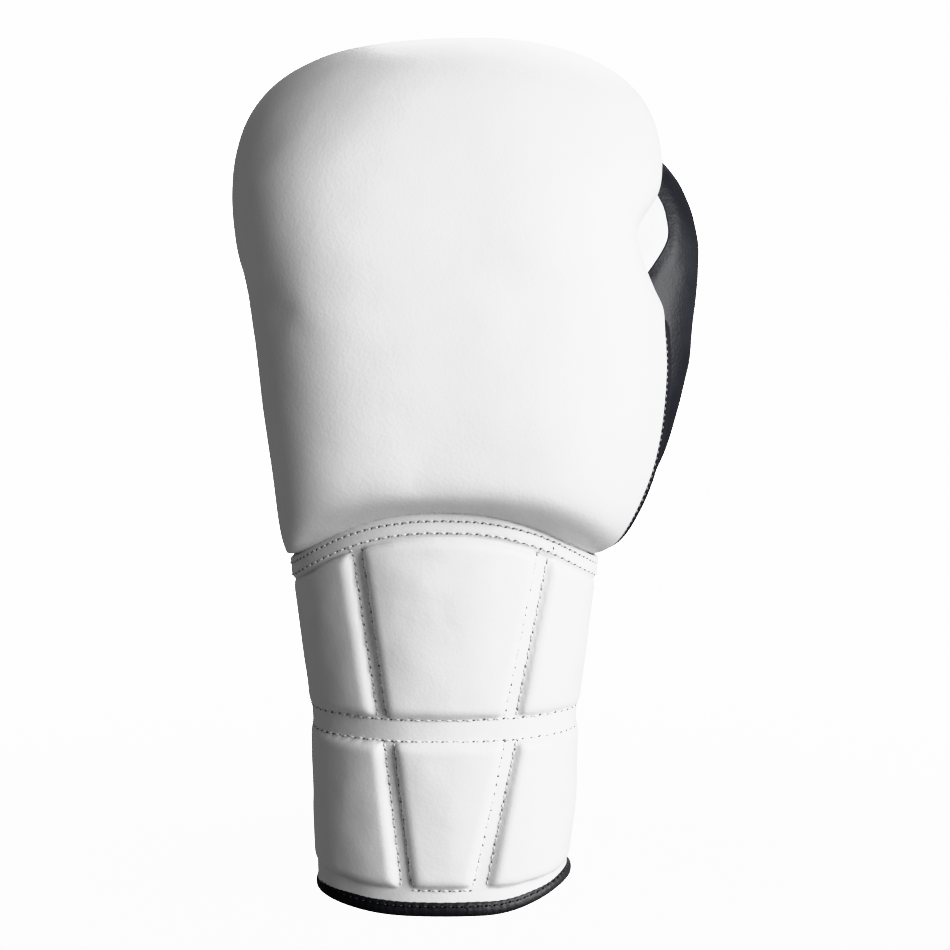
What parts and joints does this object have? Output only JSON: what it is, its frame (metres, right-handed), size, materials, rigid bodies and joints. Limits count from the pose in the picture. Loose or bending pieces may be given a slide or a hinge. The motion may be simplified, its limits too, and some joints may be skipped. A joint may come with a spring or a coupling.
{
  "type": "boxing glove",
  "caption": "Left-hand boxing glove: padded folded mitt, sewn-on thumb, quilted cuff with a palm slit and a hook-and-loop wrist strap.",
  "frame": {"origin": "centre of the bounding box in X and Y, at the level of the hem the glove stands on", "axes": "+Z towards the fingers, -Y out of the back of the hand, +Y out of the palm, +X towards the thumb"},
  "size_m": [0.1798, 0.1336, 0.3295],
  "materials": {
    "white_leather": "white pebbled leather, semi-matte",
    "black_leather": "black leather, satin",
    "foam": "closed-cell foam, matte",
    "lining": "dark woven lining",
    "webbing": "black elastic webbing and hook-and-loop tape",
    "eyelet": "black painted eyelets"
  },
  "bodies": {
    "glove": {"mitt_back_panel": "white_leather", "thumb_back_panel": "white_leather", "cuff_top_band": "white_leather", "cuff_cross_channel": "white_leather", "cuff_hem_band": "white_leather", "cuff_channel_lower_outer": "white_leather", "cuff_channel_lower_thumb": "white_leather", "cuff_channel_upper_outer": "white_leather", "cuff_channel_upper_thumb": "white_leather", "cuff_pad_lower_outer": "white_leather", "cuff_pad_lower_centre": "white_leather", "cuff_pad_lower_thumb": "white_leather", "cuff_pad_upper_outer": "white_leather", "cuff_pad_upper_centre": "white_leather", "cuff_pad_upper_thumb": "white_leather", "palm_flap_outer": "white_leather", "palm_flap_thumb": "white_leather", "strap_anchor": "white_leather", "mitt_palm_panel": "black_leather", "thumb_outer_panel": "black_leather", "hem_binding": "black_leather", "slit_binding_outer": "black_leather", "slit_binding_thumb": "black_leather", "knuckle_foam_outer": "foam", "knuckle_foam_inner": "foam", "palm_foam": "foam", "grip_bar": "foam", "thumb_foam_outer": "foam", "thumb_foam_inner": "foam", "cuff_backing": "foam", "cuff_foam_lower_outer": "foam", "cuff_foam_lower_centre": "foam", "cuff_foam_lower_thumb": "foam", "cuff_foam_upper_outer": "foam", "cuff_foam_upper_centre": "foam", "cuff_foam_upper_thumb": "foam", "palm_flap_foam_outer": "foam", "palm_flap_foam_thumb": "foam", "hand_lining": "lining", "thumb_lining": "lining", "cuff_lining": "lining", "loop_patch": "webbing", "wrist_tongue": "webbing", "eyelet_1": "eyelet", "eyelet_2": "eyelet", "eyelet_3": "eyelet", "eyelet_4": "eyelet", "eyelet_5": "eyelet", "eyelet_6": "eyelet"},
    "elastic": {"strap_elastic": "webbing"},
    "tab": {"strap_tab": "white_leather", "hook_patch": "webbing"}
  },
  "joints": [
    {"name": "strap_root", "type": "hinge", "parent": "glove", "child": "elastic", "pos_m": [0.02913, 0.02631, 0.061], "axis": [0, 0, -1], "range_deg": [0, 110]},
    {"name": "strap_peel", "type": "hinge", "parent": "elastic", "child": "tab", "pos_m": [-0.01137, 0.0381, 0.061], "axis": [0, 0, -1], "range_deg": [0, 60]}
  ]
}
